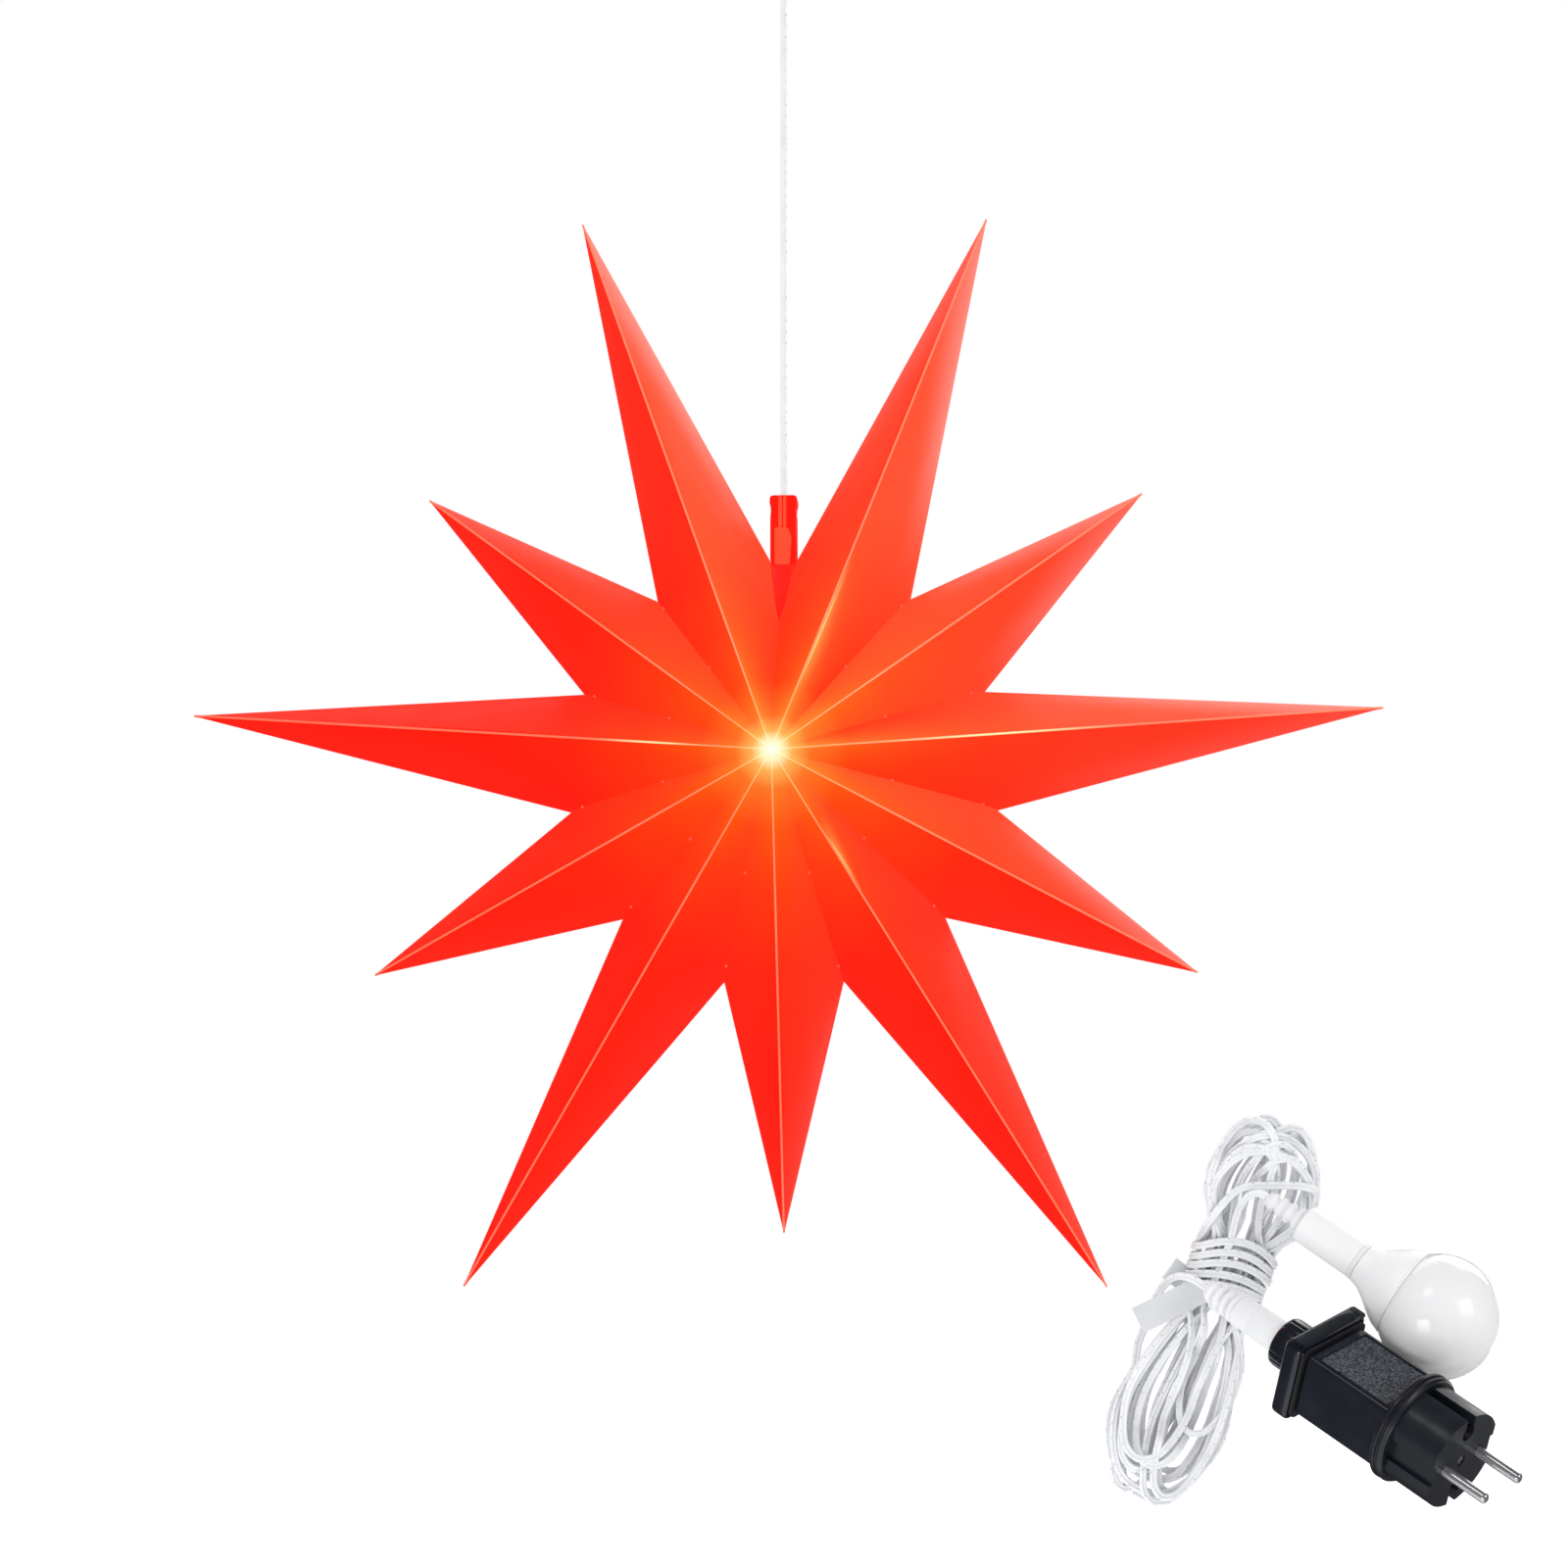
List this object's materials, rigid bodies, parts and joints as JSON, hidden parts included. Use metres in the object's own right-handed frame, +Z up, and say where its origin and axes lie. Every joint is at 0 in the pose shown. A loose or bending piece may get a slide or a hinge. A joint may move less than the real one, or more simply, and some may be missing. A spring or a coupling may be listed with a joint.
{
  "type": "led christmas star",
  "caption": "Folding many-pointed hanging star of translucent film, held by a clip on its lead, with an LED lamp inside, and its lamp set with a wound lead and plug-in supply.",
  "frame": {"origin": "centre of the ceiling plate's top face, where the star hangs from", "axes": "+Z up along the lead, -Y towards the viewer at the star's flat side, +X to the viewer's right"},
  "size_m": [0.5189, 0.3548, 0.6634],
  "materials": {
    "star_sheet": "thin translucent red film, satin, lit from inside",
    "clip_plastic": "glossy red moulding",
    "white_plastic": "satin white moulding",
    "opal_globe": "opal white, softly glossy",
    "led_board_white": "white solder mask",
    "soft_white": "soft moulded, matte",
    "lead_white": "soft white twin-core sheath",
    "tag_white": "coated paper flag, bare",
    "black_plastic": "glossy black moulding with matte panels",
    "black_rubber": "matte",
    "bright_steel": "bright nickel plate",
    "board_green": "green solder mask",
    "ferrite": "dark sintered",
    "copper": "enamelled copper wire",
    "capacitor_sleeve": "shrink sleeve"
  },
  "bodies": {
    "ceiling": {"ceiling_hook": "bright_steel", "set_lead_hank": "lead_white", "set_lead_tie": "lead_white", "set_lead_to_lamp": "lead_white", "set_lead_to_supply": "lead_white", "set_lead_tag": "tag_white", "set_strain_relief": "soft_white", "set_lamp_holder": "white_plastic", "connector_sleeve": "soft_white", "supply_rear_cover": "black_plastic", "supply_gasket": "black_rubber", "supply_housing": "black_plastic", "plug_front": "black_plastic", "plug_pin_left": "bright_steel", "plug_pin_right": "bright_steel", "centre_screw": "bright_steel", "circuit_board": "board_green", "transformer_core": "ferrite", "transformer_winding": "copper", "capacitor": "capacitor_sleeve"},
    "loop": {"lead_loop": "lead_white"},
    "lead": {"star_lead": "lead_white"},
    "star": {"leaf_01_left": "star_sheet", "leaf_01_right": "star_sheet", "leaf_02_left": "star_sheet", "leaf_02_right": "star_sheet", "leaf_03_left": "star_sheet", "leaf_03_right": "star_sheet", "leaf_04_left": "star_sheet", "leaf_04_right": "star_sheet", "leaf_05_left": "star_sheet", "leaf_05_right": "star_sheet", "leaf_06_left": "star_sheet", "leaf_06_right": "star_sheet", "leaf_07_left": "star_sheet", "leaf_07_right": "star_sheet", "leaf_08_left": "star_sheet", "leaf_08_right": "star_sheet", "leaf_09_left": "star_sheet", "leaf_09_right": "star_sheet", "leaf_10_left": "star_sheet", "leaf_10_right": "star_sheet", "leaf_11_left": "star_sheet", "leaf_11_right": "star_sheet", "clip_left_half": "clip_plastic", "clip_right_half": "clip_plastic", "star_inner_lead": "lead_white", "star_strain_relief": "soft_white", "star_lamp_holder": "white_plastic"},
    "latch": {"clip_latch": "clip_plastic"},
    "star_seal": {"star_seal_ring": "soft_white"},
    "star_bulb": {"star_bulb_body": "white_plastic", "star_led_board": "led_board_white", "star_globe": "opal_globe"},
    "set_seal": {"set_seal_ring": "soft_white"},
    "set_bulb": {"set_bulb_body": "white_plastic", "set_led_board": "led_board_white", "set_globe": "opal_globe"},
    "nut": {"union_nut": "black_plastic"}
  },
  "joints": [
    {"name": "swing_side", "type": "hinge", "parent": "ceiling", "child": "loop", "pos_m": [0, 0, -0.022], "axis": [0, 1, 0], "range_deg": [-8, 8]},
    {"name": "swing_fore", "type": "hinge", "parent": "loop", "child": "lead", "pos_m": [0, 0, -0.0397], "axis": [1, 0, 0], "range_deg": [-8, 8]},
    {"name": "star_turn", "type": "hinge", "parent": "lead", "child": "star", "pos_m": [0, 0, -0.2577], "axis": [0, 0, 1], "range_deg": [-180, 180]},
    {"name": "clip_latch_press", "type": "hinge", "parent": "star", "child": "latch", "pos_m": [0, -0.0076, -0.2875], "axis": [1, 0, 0], "range_deg": [0, 12], "stiffness_Nm_per_rad": 0.05},
    {"name": "star_seal_slide", "type": "slide", "parent": "star", "child": "star_seal", "axis": [0, 0, -1], "range_m": [0, 0.0074]},
    {"name": "star_bulb_turn", "type": "hinge", "parent": "star_seal", "child": "star_bulb", "pos_m": [0, 0, -0.375], "axis": [0, 0, -1], "range_deg": [0, 1440]},
    {"name": "set_seal_slide", "type": "slide", "parent": "ceiling", "child": "set_seal", "axis": [0.7896, -0.2388, -0.5652], "range_m": [0, 0.0074]},
    {"name": "set_bulb_turn", "type": "hinge", "parent": "set_seal", "child": "set_bulb", "pos_m": [0.18774, -0.19354, -0.55317], "axis": [0.7896, -0.2388, -0.5652], "range_deg": [0, 1440]},
    {"name": "union_nut_turn", "type": "hinge", "parent": "ceiling", "child": "nut", "pos_m": [0.19578, -0.21503, -0.60696], "axis": [-0.7111, 0.4996, 0.4947], "range_deg": [0, 720]}
  ],
  "couplings": [
    {"joint": "star_seal_slide", "follows": "star_bulb_turn", "m_per_rad": 0.0002881},
    {"joint": "set_seal_slide", "follows": "set_bulb_turn", "m_per_rad": 0.0002881}
  ]
}
